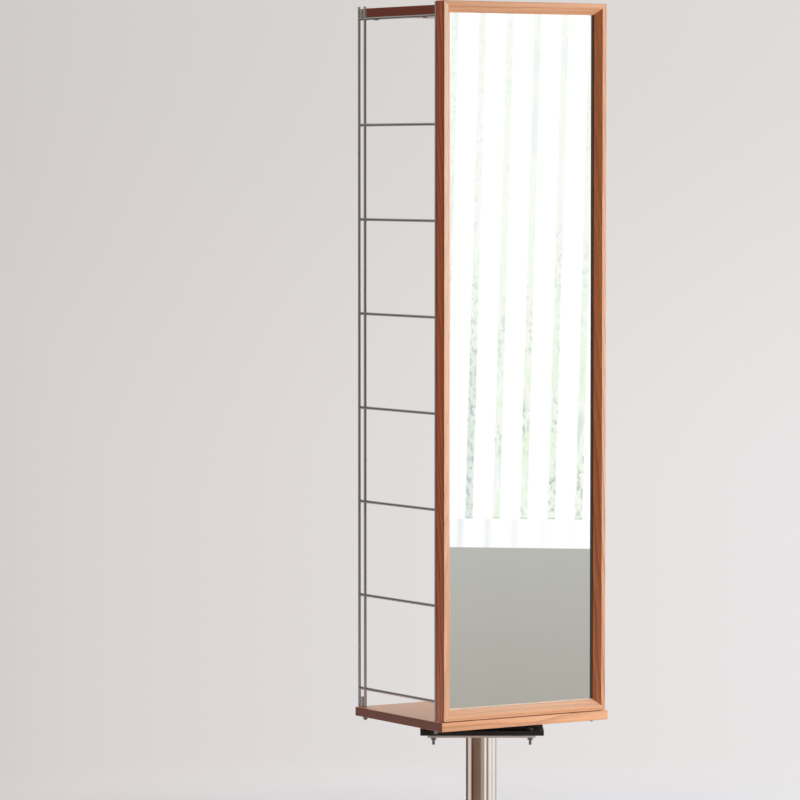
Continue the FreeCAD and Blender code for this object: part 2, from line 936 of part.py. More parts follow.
def make_top_board_clips():
    """Stepped clips: a tongue under the board, a step down, and a hook under the rung."""
    hook_top = top_rung_height - rung_radius - clip_rod_clearance
    bend = -upright_x + clip_bend_inset()
    outline = [
        (bend + clip_tongue, top_board_bottom),
        (bend - clip_thickness, top_board_bottom),
        (bend - clip_thickness, hook_top),
        (-upright_x - rung_radius, hook_top),
        (-upright_x - rung_radius, hook_top - clip_thickness),
        (bend, hook_top - clip_thickness),
        (bend, top_board_bottom - clip_thickness),
        (bend + clip_tongue, top_board_bottom - clip_thickness),
        (bend + clip_tongue, top_board_bottom),
    ]
    clips = []
    for x, y in clip_screw_places():
        if x > 0:
            continue
        start = y - clip_width / 2
        face = Part.Face(Part.makePolygon([Vector(px, start, pz) for px, pz in outline]))
        clip = face.extrude(Vector(0, clip_width, 0)).cut(clip_screw_at(x, y, hole_clearance))
        clips += both_sides(clip)
    return clips


def make_top_board_clip_screws():
    screws = []
    for x, y in clip_screw_places():
        screw = driven_screw(clip_screw_diameter, head_of(clip_screw_diameter), clip_screw_length)
        screws.append(screw.translated(Vector(x, y, top_board_bottom - clip_thickness)))
    return screws


# Every node of the part, by name


def all_nodes():
    left_stile = make_left_stile()
    uprights = make_left_uprights()
    rungs = make_left_rungs(uprights)
    pegs = make_left_pegs()
    nodes = {
        "base_disc": [make_base_disc()],
        "base_pads": make_base_pads(),
        "foot_plug": [make_foot_plug()],
        "foot_bolt": [make_foot_bolt()],
        "post_tube": [make_post_tube()],
        "head_plate": [make_head_plate()],
        "turntable_slab": [make_slab()],
        "slab_bolts": make_slab_bolts(),
        "slab_washers": make_slab_washers(),
        "slab_nuts": make_slab_nuts(),
        "lower_plate": [make_lower_plate()],
        "lower_plate_screws": make_lower_plate_screws(),
        "lower_race": [make_lower_race()],
        "lower_race_rivets": make_lower_rivets(),
        "pivot_bolt": [make_pivot_bolt()],
        "pivot_washer": [make_pivot_washer()],
        "pivot_nut": [make_pivot_nut()],
        "bearing_balls": make_bearing_balls(),
        "ball_cage": [make_ball_cage()],
        "upper_race": [make_upper_race()],
        "upper_race_rivets": make_upper_rivets(),
        "pivot_bush": [make_pivot_bush()],
        "turning_plate": [make_turning_plate()],
        "turning_plate_screws": make_turning_plate_screws(),
        "bottom_board": [make_bottom_board()],
        "top_board": [make_top_board()],
        "left_stile": [left_stile],
        "right_stile": [left_stile.mirror(origin, right)],
        "top_rail": [make_top_rail()],
        "bottom_rail": [make_bottom_rail()],
        "corner_keys": corner_keys(0),
        "mirror_glass": [make_mirror_glass()],
        "mirror_backing": [make_mirror_backing()],
        "backing_beads": make_backing_beads(),
        "frame_packers": make_frame_packers(),
        "frame_foot_screws": make_frame_foot_screws(),
        "frame_brackets": make_frame_brackets(),
        "frame_bracket_screws": make_frame_bracket_screws(),
        "upright_washers": make_upright_washers(),
        "upright_nuts": make_upright_nuts(),
        "top_board_clips": make_top_board_clips(),
        "top_board_clip_screws": make_top_board_clip_screws(),
    }
    for place, shape in uprights.items():
        left, right_copy = both_sides(shape)
        nodes["left_" + place + "_upright"] = [left]
        nodes["right_" + place + "_upright"] = [right_copy]
    nodes["left_rungs"] = rungs
    nodes["right_rungs"] = [rung.mirror(origin, right) for rung in rungs]
    nodes["left_pegs"] = pegs
    nodes["right_pegs"] = [peg.mirror(origin, right) for peg in pegs]
    return nodes


def write_nodes(nodes):
    os.makedirs("parts", exist_ok=True)
    for name, solids in nodes.items():
        shape = solids[0] if len(solids) == 1 else Part.makeCompound(solids)
        shape.exportStep("parts/" + name + ".step")


write_nodes(all_nodes())
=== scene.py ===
import math

import bpy
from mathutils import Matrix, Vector


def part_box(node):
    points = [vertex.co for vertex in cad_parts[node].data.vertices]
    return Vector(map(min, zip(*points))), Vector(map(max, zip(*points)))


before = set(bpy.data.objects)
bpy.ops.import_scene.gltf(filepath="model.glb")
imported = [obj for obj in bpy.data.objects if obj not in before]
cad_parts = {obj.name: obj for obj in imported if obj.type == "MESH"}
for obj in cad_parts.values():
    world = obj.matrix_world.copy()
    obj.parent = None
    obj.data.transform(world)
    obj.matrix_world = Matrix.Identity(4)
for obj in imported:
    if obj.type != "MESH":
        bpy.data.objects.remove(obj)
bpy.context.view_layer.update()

# Camera of the picture: heading to the right of +Y, tilt below the horizon, metres and pixels
camera_place = (-5.2699, -8.0299, 1.4684)
camera_heading = math.radians(32.245)
camera_tilt = math.radians(2.985)
camera_focal_pixels = 4533.4
camera_reach = 100.0
picture_pixels = 800
sensor_mm = 36.0

# Level directions: the picture's right, and the camera's view as the mirror at rest throws it back
picture_right = (math.cos(camera_heading), -math.sin(camera_heading), 0)
mirrored_view = (math.sin(camera_heading), -math.cos(camera_heading))

# Background colours: upper and lower, at the left and at the right of the picture
wall_upper_left = (0.63, 0.60, 0.58)
wall_upper_right = (0.74, 0.71, 0.69)
wall_lower_left = (0.668, 0.618, 0.61)
wall_lower_right = (0.81, 0.79, 0.79)

# How far the background's change reaches to each side and upwards, as parts of a unit direction
wall_half_width = 0.085
wall_side_power = 0.78
wall_rise_range = (0.035, -0.075)

# Soft light on everything
ambient_colour = (0.22, 0.215, 0.21)

# Floor in metres: two tones of its colour, a faint glow towards the right, and its fade at the rim
floor_radius = 7.0
floor_tones = ((0.735, 0.74, 0.758), (0.765, 0.77, 0.788))
floor_mottle = (3.0, 3.0, 0.5)
floor_lift_range = (0.0, 0.14)
floor_lift_colour = (0.9, 0.9, 1.0, 1)
floor_half_width = 0.8
floor_fade = (0.6, 1.7)

# Area lights: place and target in metres, size, watts and colour, where 1 is white
key_heading = math.radians(46)
key_distance = 2.9
key_height = 1.15
key_place = (key_distance * math.sin(key_heading), -key_distance * math.cos(key_heading), key_height)
area_lights = {
    "key_light": (key_place, (0, 0, 1.05), 1.8, 88.0, (0.97, 1.0, 1.04)),
    "back_light": ((0.6, 3.0, 1.9), (0, 0, 0.7), 2.0, 72.0, (1, 1, 1)),
    "top_light": ((0.3, -0.4, 4.2), (0, 0, 0.9), 2.4, 6.0, (1, 1, 1)),
}

# Warm card at the left, in metres
warm_card_colour = (0.36, 0.175, 0.115)
warm_card_distance = 1.5
warm_card_width = 4.0
warm_card_height = 3.0

# Striped card that the mirror shows: metres from its foot and its middle, and a level where 1 is white
card_distance = 2.7
card_width = 2.4
card_height = 2.5
card_slope = -0.0125
card_noise_roughness = 0.6
stripe_level = 1.3
stripe_pitch = 0.073
stripe_lean = 0.0272
stripe_datum = 0.653

# Gaps between the stripes: shares of the pitch, tints, and the heights over which a haze takes over
gap_half_share = 0.152
gap_soft_share = 0.045
gap_tints = [
    (0.34, (0.80, 0.87, 0.84)),
    (0.43, (1.03, 1.05, 1.01)),
    (0.49, (0.90, 1.0, 0.83)),
    (0.55, (1.02, 1.04, 0.97)),
    (0.62, (0.93, 0.98, 0.86)),
    (0.70, (0.84, 0.95, 0.86)),
]
gap_tint_noise = ((13.0, 1.0, 4.2), 2.0)
gap_haze = (1.05, 1.06, 1.03)
gap_haze_heights = (0.75, 1.40)
gap_tint_shares = (0.30, 1.0)

# Dark speckles in the gaps, in patches and mostly lower down, and a shade at the card's left
speckle_colour = (0.50, 0.56, 0.56)
speckle_noise = ((95.0, 1.0, 52.0), 4.0)
speckle_range = (0.50, 0.60)
speckle_shares = (0.2, 0.8)
patch_noise = ((14.0, 1.0, 4.4), 2.0)
patch_range = (0.46, 0.62)
patch_gain = 0.16
shade_fade = (-0.17, -0.09)
shade_colour = (0.80, 0.84, 0.89)
shade_range = (0.5, 0.95)

# Pale ledge under the stripes with soft folds, a thin line on top of it, and the grey foot of the card
ledge_top = 0.525
ledge_level = 1.09
ledge_drop = 0.003
line_half_height = 0.0014
line_soft = 0.0008
line_share = 0.6
fold_fade = (-0.20, 0.08)
fold_fade_shares = (0.9, 0.1)
fold_shift_share = 0.31
fold_half_share = 0.10
fold_soft_share = 0.07
fold_shade = (0.80, 0.82, 0.83)
fold_noise = ((30.0, 1.0, 24.0), 2.0)
fold_least_share = 0.35
foot_top = 0.445
foot_upper_colour = (0.528, 0.52, 0.492)
foot_lower_colour = (0.452, 0.43, 0.383)
level_soft = 0.001

# Wide ring and low ring that only the gloss sees, in metres, and the heights where the bands turn pale
ring_steps = 96
room_radius = 3.4
room_height = 3.6
skirt_radius = 0.55
skirt_height = 0.205
band_tops = (1.9, 2.6)
above_bands = (0.66, 0.63, 0.61)

# Bands of the wide ring and of the low one: degrees to the right of the camera's side, and colour
room_bands = [
    (-180, (0.60, 0.58, 0.57)),
    (-152, (0.60, 0.58, 0.57)),
    (-142, (0.12, 0.11, 0.105)),
    (-104, (0.12, 0.11, 0.105)),
    (-94, (0.80, 0.79, 0.78)),
    (-62, (0.80, 0.79, 0.78)),
    (-50, (0.13, 0.085, 0.06)),
    (-10, (0.13, 0.085, 0.06)),
    (6, (0.42, 0.38, 0.36)),
    (26, (0.50, 0.46, 0.44)),
    (56, (1.0, 0.97, 0.94)),
    (100, (1.0, 0.97, 0.94)),
    (136, (0.75, 0.70, 0.67)),
    (150, (1.25, 1.2, 1.15)),
    (168, (1.25, 1.2, 1.15)),
    (180, (0.60, 0.58, 0.57)),
]
post_bands = [
    (-180, (0.60, 0.56, 0.54)),
    (-150, (0.12, 0.09, 0.07)),
    (-122, (0.12, 0.09, 0.07)),
    (-112, (0.90, 0.74, 0.67)),
    (-84, (0.90, 0.74, 0.67)),
    (-76, (0.09, 0.045, 0.025)),
    (-65, (0.09, 0.045, 0.025)),
    (-57, (0.20, 0.12, 0.08)),
    (-10, (0.25, 0.16, 0.115)),
    (1, (0.40, 0.31, 0.25)),
    (5, (0.62, 0.49, 0.42)),
    (9, (0.62, 0.49, 0.42)),
    (13, (0.34, 0.24, 0.19)),
    (18, (0.45, 0.36, 0.31)),
    (26, (1.25, 1.14, 1.08)),
    (35, (1.25, 1.14, 1.08)),
    (40, (0.32, 0.27, 0.24)),
    (50, (0.30, 0.25, 0.22)),
    (58, (1.10, 1.02, 0.96)),
    (72, (1.25, 1.18, 1.12)),
    (80, (0.88, 0.82, 0.78)),
    (96, (0.95, 0.90, 0.85)),
    (112, (1.30, 1.22, 1.16)),
    (134, (0.70, 0.66, 0.63)),
    (158, (0.42, 0.40, 0.38)),
    (180, (0.60, 0.56, 0.54)),
]

# Colours of the wood, linear
wood_pale = (0.80, 0.43, 0.235)
wood_middle = (0.70, 0.325, 0.155)
wood_deep = (0.34, 0.095, 0.03)
wood_end = (0.33, 0.066, 0.022)
# Cream for painted light: highlights on the edges and lips, higher up the left stile's front, and on the
# bottom rail's level faces
wood_cream = (0.95, 0.80, 0.64)
# Paler front colour of the left stile: partly its edge grain, partly painted light
wood_front = (0.97, 0.58, 0.35)
# Painted shade: a deeper, redder tone multiplied onto the stiles' sides
wood_side_shade = (0.98, 0.70, 0.53)
wood_seam = (0.66, 0.52, 0.45)
# Near-black painted shade for the right stile's lip
wood_shade = (0.05, 0.014, 0.004)

# Figures drawn out along a grain: features per metre along and across it, detail and roughness
wave_figure = (3.2, 14.0, 2.5, 0.45)
streak_figure = (2.6, 170.0, 4.0, 0.62)
cloud_figure = (1.7, 16.0, 2.0, 0.5)
pore_figure = (50.0, 1300.0, 1.0, 0.4)
brush_figure = (12.0, 900.0, 3.0, 0.6)

# Wood: how dark each ring is across its width, the ranges of its figures, ends, edges and lacquer
ring_stops = [(0.0, 0.7), (0.08, 0.0), (0.40, 0.05), (0.80, 0.6), (1.0, 1.0)]
streak_range = (0.32, 0.62)
vein_least_share = 0.45
vein_range = (0.35, 0.62)
pore_stops = [(0.60, 0.0), (0.80, 0.30)]
end_share = 0.95
end_range = (0.75, 0.92)
end_pore_share = 0.5
end_pore_range = (0.35, 0.75)
end_pore_tone = 0.6
# Painted highlight along the wood's edges: the radius and gain of its edge mask, then its strength
wood_edge = (0.0010, 6.0)
wood_edge_highlight = 0.30
wood_roughness = (0.26, 0.40)
wood_bump = (0.25, 0.0002)
wood_shine = {"IOR": 1.46, "Coat Weight": 0.25, "Coat Roughness": 0.12, "Coat IOR": 1.5}

# How squarely a face looks along an axis where a layer sets in
square_range = (0.85, 0.95)
turned_range = (0.55, 0.70)
bevel_range = (0.5, 0.65)

# Lip of the frame, in metres before the glass and inside its outline, and the strength of its painted
# highlight on the left stile and the bottom rail
lip_depths = (0.0062, 0.0046)
lip_side_insets = (0.004, 0.003)
lip_end_inset = 0.0035
lip_end_soft = 0.0005
left_lip_highlight = 0.6
bottom_lip_highlight = 0.5

# Seams of the stiles' sides, in metres from the front and from the back, and layers of single members
front_seam = (0.0014, 0.0058)
front_seam_soft = 0.0010
back_seam = (0.008, 0.003)
# Paler front of the left stile: partly its plainer edge grain, partly painted light
pale_front_share = 0.55
# Painted highlight on the left stile's front, growing between two heights
upper_front_highlight_share = 0.42
upper_front_highlight_heights = (0.55, 1.45)
# Painted light on the bottom rail's faces that turn up or down
lit_bevel_share = 0.22

# Bare metals: colour, roughness, axis of the brushing, spread of the roughness, wear of the edges
metals = {
    "rod_steel": ((0.47, 0.465, 0.465), 0.22, "Z", 0.10, 0.25),
    "stainless_tube": ((0.78, 0.75, 0.73), 0.13, "Z", 0.04, 0.10),
    "stainless_plate": ((0.80, 0.77, 0.76), 0.30, "X", 0.10, 0.25),
    "zinc_steel": ((0.50, 0.50, 0.52), 0.33, "Z", 0.10, 0.25),
    # Painted shade: a darker copy of the zinc, for the fixings under the slab and the board
    "shaded_zinc": ((0.25, 0.245, 0.245), 0.30, "Z", 0.10, 0.25),
    "bare_steel": ((0.38, 0.38, 0.39), 0.35, "X", 0.10, 0.25),
    "ball_steel": ((0.72, 0.73, 0.75), 0.08, "X", 0.03, 0.25),
    "bush_bronze": ((0.55, 0.33, 0.13), 0.32, "Z", 0.10, 0.25),
}
metal_mottle = (9.0, 3.0, 0.55)
metal_tones = (0.84, 1.35)
metal_edge = (0.0006, 5.0)
metal_bump = (0.05, 0.00008)

# Coats: colour, roughness, size of the grain in metres, level of the rubbed edges, wear
coats = {
    "black_coat": ((0.008, 0.0075, 0.0075), 0.52, 0.0011, 0.09, 0.5),
    "dark_plate": ((0.03, 0.03, 0.032), 0.38, 0.0008, 0.2, 0.5),
    "pad_rubber": ((0.025, 0.025, 0.025), 0.75, 0.0006, 0.06, 0.3),
    "cage_nylon": ((0.62, 0.59, 0.50), 0.5, 0.0006, 0.7, 0.2),
    "packer_plastic": ((0.05, 0.035, 0.025), 0.5, 0.0006, 0.12, 0.2),
}
peel_look = (2.0, 0.5)
coat_mottle = (11.0, 3.0, 0.6)
coat_tones = (0.8, 1.2)
coat_roughness_spread = (-0.06, 0.08)
coat_edge = (0.0008, 5.0)
coat_bump = (0.2, 0.0002)
coat_shine = {"IOR": 1.5}

# Mirror glass: scale and look of the wiping marks, and its two tints
wipe_scale = (6.0, 6.0, 1.2)
wipe_look = (4.0, 0.6)
mirror_tints = ((0.905, 0.925, 0.91), (0.925, 0.94, 0.93))
mirror_shine = {"Metallic": 1.0, "Roughness": 0.0}

# Hardboard: scale and look of the fibres, its two tones, and the darker patches
fibre_scale = (420.0, 420.0, 160.0)
fibre_look = (4.0, 0.7)
board_tones = ((0.13, 0.075, 0.038), (0.235, 0.145, 0.08))
board_mottle = (5.0, 3.0, 0.6)
board_patch = (0.15, 0.085, 0.045)
board_patch_stops = [(0.35, 0.35), (0.7, 0.0)]
board_roughness = (0.62, 0.8)
board_bump = (0.3, 0.0003)
board_shine = {"IOR": 1.45}

# Where two tones meet on a noise, and the number of rays that look for an edge
tone_range = (0.3, 0.7)
edge_rays = 4


def add(tree, kind, inputs=None, **settings):
    """A node with its settings; an input is a value or another node's output."""
    node = tree.nodes.new(kind)
    for key, value in settings.items():
        setattr(node, key, value)
    for key, value in (inputs or {}).items():
        if isinstance(value, bpy.types.NodeSocket):
            tree.links.new(value, node.inputs[key])
        else:
            node.inputs[key].default_value = value
    return node


def math_node(tree, operation, *values):
    inputs = {index: value for index, value in enumerate(values)}
    return add(tree, "ShaderNodeMath", inputs, operation=operation).outputs[0]


def product(tree, first, *others):
    """The product of two or more values."""
    for other in others:
        first = math_node(tree, "MULTIPLY", first, other)
    return first


def dot_product(tree, first, second):
    inputs = {0: first, 1: second}
    return add(tree, "ShaderNodeVectorMath", inputs, operation="DOT_PRODUCT").outputs["Value"]


def length_of(tree, vector):
    return add(tree, "ShaderNodeVectorMath", {0: vector}, operation="LENGTH").outputs["Value"]


def parts_of(tree, vector):
    """The X, Y and Z of a vector."""
    return add(tree, "ShaderNodeSeparateXYZ", {"Vector": vector}).outputs


def fresh_material(name):
    """A material with an empty node tree."""
    material = bpy.data.materials.new(name)
    material.use_nodes = True
    material.node_tree.nodes.clear()
    return material, material.node_tree


def principled_material(name, inputs):
    """A material with one principled shader."""
    material, tree = fresh_material(name)
    shader = add(tree, "ShaderNodeBsdfPrincipled", inputs)
    add(tree, "ShaderNodeOutputMaterial", {"Surface": shader.outputs[0]})
    return material, tree, shader


def glow(tree, colour):
    return add(tree, "ShaderNodeEmission", {"Color": colour}).outputs[0]


def mix_shaders(tree, factor, first, second):
    return add(tree, "ShaderNodeMixShader", {0: factor, 1: first, 2: second}).outputs[0]


def clear(tree):
    return add(tree, "ShaderNodeBsdfTransparent").outputs[0]


def dress(names, material):
    """Gives a material to CAD nodes."""
    for name in names:
        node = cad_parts[name]
        node.data.materials.clear()
        node.data.materials.append(material)


def alike(value):
    """One value three times: a grey, or an even scale."""
    return (value, value, value)


def shaded(colour, tone):
    """A colour made lighter or darker."""
    return [min(1.0, tone * part) for part in colour]


def object_place(tree):
    """The object's own coordinates."""
    return add(tree, "ShaderNodeTexCoord").outputs["Object"]


def stretched(tree, scale, shift=(0, 0, 0)):
    """The object's own coordinates, scaled on each axis."""
    inputs = {"Vector": object_place(tree), "Scale": scale, "Location": shift}
    return add(tree, "ShaderNodeMapping", inputs).outputs[0]


def noise(tree, vector, detail, roughness):
    inputs = {"Vector": vector, "Scale": 1.0, "Detail": detail, "Roughness": roughness}
    return add(tree, "ShaderNodeTexNoise", inputs).outputs[0]


def mottle(tree, look):
    """Even noise; its look is features per metre, detail and roughness."""
    features, detail, roughness = look
    return noise(tree, stretched(tree, alike(features)), detail, roughness)


def axis_values(grain, along, across):
    """One value on the grain's axis and another on the two axes across it."""
    return tuple(along if axis == grain else across for axis in "XYZ")


def figure(tree, grain, look, shift=(0, 0, 0)):
    """Noise drawn out along the grain."""
    along, across, detail, roughness = look
    return noise(tree, stretched(tree, axis_values(grain, along, across), shift), detail, roughness)


def ramp(tree, factor, stops):
    """A colour ramp from (position, colour) stops."""
    node = add(tree, "ShaderNodeValToRGB", {"Fac": factor})
    elements = node.color_ramp.elements
    while len(elements) < len(stops):
        elements.new(0.5)
    for element, (position, colour) in zip(elements, stops):
        element.position = position
        element.color = (*colour, 1)
    return node.outputs[0]


def level_ramp(tree, factor, stops):
    """A ramp of plain levels from (position, level) stops."""
    return ramp(tree, factor, [(position, alike(level)) for position, level in stops])


def two_tones(tree, factor, tones, span=tone_range):
    """One colour that runs into another over a span of the factor."""
    return ramp(tree, factor, list(zip(span, tones)))


def spread(tree, factor, low, high, source=(0.0, 1.0), smooth=False):
    """A range of the factor mapped to another range, clamped."""
    inputs = {"Value": factor, "From Min": source[0], "From Max": source[1], "To Min": low, "To Max": high}
    kind = "SMOOTHSTEP" if smooth else "LINEAR"
    return add(tree, "ShaderNodeMapRange", inputs, interpolation_type=kind).outputs[0]


def below(tree, value, edge, soft):
    """1 under an edge and 0 over it, with a soft step."""
    return spread(tree, value, 1.0, 0.0, (edge - soft, edge + soft))


def band(tree, value, low, high, soft):
    """1 between two values of a coordinate, with soft sides."""
    rise = spread(tree, value, 0.0, 1.0, (low - soft, low + soft))
    return product(tree, rise, below(tree, value, high, soft))


def mix(tree, factor, first, second, blend="MIX"):
    """Two colours mixed; a mixing node keeps its colour sockets at the places given here."""
    factor_socket, first_socket, second_socket, result_socket = 0, 6, 7, 2
    first = first if isinstance(first, bpy.types.NodeSocket) else (*first, 1)
    second = second if isinstance(second, bpy.types.NodeSocket) else (*second, 1)
    node = add(tree, "ShaderNodeMix", data_type="RGBA", blend_type=blend)
    for socket, value in ((factor_socket, factor), (first_socket, first), (second_socket, second)):
        if isinstance(value, bpy.types.NodeSocket):
            tree.links.new(value, node.inputs[socket])
        else:
            node.inputs[socket].default_value = value
    return node.outputs[result_socket]


def bump(tree, shader, height, strength, distance):
    inputs = {"Height": height, "Strength": strength, "Distance": distance}
    node = add(tree, "ShaderNodeBump", inputs)
    tree.links.new(node.outputs[0], shader.inputs["Normal"])


def edge_mask(tree, radius, gain):
    """About 1 along sharp edges and 0 on flat faces."""
    bevel = add(tree, "ShaderNodeBevel", {"Radius": radius}, samples=edge_rays).outputs[0]
    normal = add(tree, "ShaderNodeNewGeometry").outputs["Normal"]
    return spread(tree, dot_product(tree, bevel, normal), 0.0, 1.0, (1.0, 1.0 - 1.0 / gain))


def facing(tree, axis):
    """How squarely the face looks along an axis, from 0 to 1."""
    normal = add(tree, "ShaderNodeTexCoord").outputs["Normal"]
    return math_node(tree, "ABSOLUTE", parts_of(tree, normal)[axis])


def growth_rings(tree, grain, heart, spacing, wobble, lean, shift):
    """A saw from 0 to 1 over each growth ring round the heart; the lean is rings per metre of grain."""
    scale = axis_values(grain, 0.0, 1.0 / spacing)
    place = tuple(-part * factor for part, factor in zip(heart, scale))
    distance = length_of(tree, stretched(tree, scale, place))
    wave = figure(tree, grain, wave_figure, shift)
    drift = math_node(tree, "MULTIPLY_ADD", wave, wobble, distance)
    along = parts_of(tree, object_place(tree))[grain]
    return math_node(tree, "FRACT", math_node(tree, "MULTIPLY_ADD", along, lean, drift))


def end_grain(tree, pores, end_tone):
    """The colour of a cut end, darker in its pores."""
    ends = shaded(wood_end, end_tone)
    amount = spread(tree, pores, 0.0, end_pore_share, end_pore_range)
    return mix(tree, amount, ends, shaded(ends, end_pore_tone))


def wood_material(
    name, grain, heart, shift, spacing=0.006, wobble=2.6, lean=0.0,
    vein=0.6, tone=1.0, end_tone=1.0, details=None,
):
    """Lacquered reddish wood: growth rings, streaks, pores, end grain, and a painted highlight along the
    edges.
    """
    material, tree, shader = principled_material(name, wood_shine)
    rings = growth_rings(tree, grain, heart, spacing, wobble, lean, shift)
    streaks = figure(tree, grain, streak_figure, shift)
    clouds = figure(tree, grain, cloud_figure, shift)
    pores = figure(tree, grain, pore_figure, shift)
    tones = (shaded(wood_middle, tone), shaded(wood_pale, tone))
    colour = two_tones(tree, streaks, tones, streak_range)
    strength = spread(tree, clouds, vein_least_share * vein, vein, vein_range)
    marked = product(tree, level_ramp(tree, rings, ring_stops), strength)
    colour = mix(tree, marked, colour, wood_deep)
    colour = mix(tree, level_ramp(tree, pores, pore_stops), colour, wood_deep)
    # Painted highlight: cream on the edges, where the arrises catch the light
    paler_edges = spread(tree, edge_mask(tree, *wood_edge), 0.0, wood_edge_highlight)
    colour = mix(tree, paler_edges, colour, wood_cream)
    end = spread(tree, facing(tree, grain), 0.0, end_share, end_range)
    colour = mix(tree, end, colour, end_grain(tree, pores, end_tone))
    for mask, layer, blend in (details(tree) if details else []):
        colour = mix(tree, mask, colour, layer, blend)
    tree.links.new(colour, shader.inputs["Base Color"])
    tree.links.new(spread(tree, streaks, *wood_roughness), shader.inputs["Roughness"])
    bump(tree, shader, pores, *wood_bump)
    return material


def lip_mask(tree, place):
    """1 on the narrow lip of the frame next to the glass."""
    low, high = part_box("mirror_glass")
    lip = spread(tree, place["Y"], 0.0, 1.0, [low[1] - depth for depth in lip_depths])
    reach = math_node(tree, "ABSOLUTE", place["X"])
    within = spread(tree, reach, 1.0, 0.0, [high[0] - inset for inset in lip_side_insets])
    upright = band(tree, place["Z"], low[2] + lip_end_inset, high[2] - lip_end_inset, lip_end_soft)
    return product(tree, lip, within, upright)


def side_layers(tree, place):
    """Painted shade: a deeper, redder tone on the sides of a stile, with darker seams by its arrises."""
    # Painted shade on the faces turned to the sides
    turned = spread(tree, facing(tree, "X"), 0.0, 1.0, turned_range)
    outside = spread(tree, facing(tree, "X"), 0.0, 1.0, square_range)
    low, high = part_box("left_stile")
    near = band(tree, place["Y"], low[1] + front_seam[0], low[1] + front_seam[1], front_seam_soft)
    far = spread(tree, place["Y"], 0.0, 1.0, [high[1] - inset for inset in back_seam])
    seams = product(tree, math_node(tree, "MAXIMUM", near, far), outside)
    return [(turned, wood_side_shade, "MULTIPLY"), (seams, wood_seam, "MULTIPLY")]


def left_stile_details(tree):
    """Painted shade on the sides, a paler front, and painted highlights higher up the front and on the
    lip.
    """
    place = parts_of(tree, object_place(tree))
    front = spread(tree, facing(tree, "Y"), 0.0, 1.0, square_range)
    # Partly edge grain, partly painted light on the face that looks forward
    plain = product(tree, front, pale_front_share)
    # Painted highlight: the front turns cream higher up
    upper_front_highlight = product(tree, front, spread(tree, place["Z"], 0.0, upper_front_highlight_share, upper_front_highlight_heights))
    # Painted highlight on the lip
    lip = product(tree, lip_mask(tree, place), left_lip_highlight)
    fronts = [(plain, wood_front, "MIX"), (upper_front_highlight, wood_cream, "MIX"), (lip, wood_cream, "MIX")]
    return side_layers(tree, place) + fronts


def right_stile_details(tree):
    """Painted shade on the sides, and painted shade that makes the lip near black."""
    place = parts_of(tree, object_place(tree))
    # Painted shade: the lip near black
    return side_layers(tree, place) + [(lip_mask(tree, place), wood_shade, "MIX")]


def bottom_rail_details(tree):
    """A painted highlight on the lip, and painted light that makes the faces turning up or down paler, the
    bevel among them.
    """
    place = parts_of(tree, object_place(tree))
    # Painted light: paler where the faces turn up or down
    bevel = spread(tree, facing(tree, "Z"), 0.0, lit_bevel_share, bevel_range)
    # Painted highlight on the lip
    lip = product(tree, lip_mask(tree, place), bottom_lip_highlight)
    return [(bevel, wood_cream, "MIX"), (lip, wood_cream, "MIX")]


def metal_material(name, colour, roughness, brush_axis, brush_gain, wear):
    """Bare metal with fine brushing, patches of tone and brighter edges."""
    material, tree, shader = principled_material(name, {"Metallic": 1.0})
    brushed = figure(tree, brush_axis, brush_figure)
    dimmer, bright = [shaded(colour, tone) for tone in metal_tones]
    toned = mix(tree, mottle(tree, metal_mottle), dimmer, colour)
    paler_edges = mix(tree, spread(tree, edge_mask(tree, *metal_edge), 0.0, wear), toned, bright)
    low, high = roughness - brush_gain / 2, roughness + brush_gain / 2
    tree.links.new(paler_edges, shader.inputs["Base Color"])
    tree.links.new(spread(tree, brushed, low, high), shader.inputs["Roughness"])
    bump(tree, shader, brushed, *metal_bump)
    return material


def coated_material(name, colour, roughness, grain_size, edge_level, wear):
    """Paint, plastic or rubber: a fine orange-peel grain and rubbed edges."""
    material, tree, shader = principled_material(name, coat_shine)
    peel = mottle(tree, (1.0 / grain_size, *peel_look))
    patches = mottle(tree, coat_mottle)
    dimmer, pale = [shaded(colour, tone) for tone in coat_tones]
    toned = mix(tree, patches, dimmer, pale)
    paler_edges = mix(tree, spread(tree, edge_mask(tree, *coat_edge), 0.0, wear), toned, alike(edge_level))
    low, high = [roughness + change for change in coat_roughness_spread]
    tree.links.new(paler_edges, shader.inputs["Base Color"])
    tree.links.new(spread(tree, patches, low, high), shader.inputs["Roughness"])
    bump(tree, shader, peel, *coat_bump)
    return material


def mirror_material():
    """Silvered glass: a sharp reflection, a breath of green, and faint wiping marks."""
    material, tree, shader = principled_material("silvered_glass", mirror_shine)
    wipes = noise(tree, stretched(tree, wipe_scale), *wipe_look)
    tree.links.new(two_tones(tree, wipes, mirror_tints), shader.inputs["Base Color"])
    return material


def hardboard_material():
    """Brown pressed board with short fibres."""
    material, tree, shader = principled_material("hardboard", board_shine)
    fibres = noise(tree, stretched(tree, fibre_scale), *fibre_look)
    patches = level_ramp(tree, mottle(tree, board_mottle), board_patch_stops)
    toned = mix(tree, patches, two_tones(tree, fibres, board_tones), board_patch)
    tree.links.new(toned, shader.inputs["Base Color"])
    tree.links.new(spread(tree, fibres, *board_roughness), shader.inputs["Roughness"])
    bump(tree, shader, fibres, *board_bump)
    return material


def middle_of(name):
    low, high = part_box(name)
    return [(a + b) / 2 for a, b in zip(low, high)]


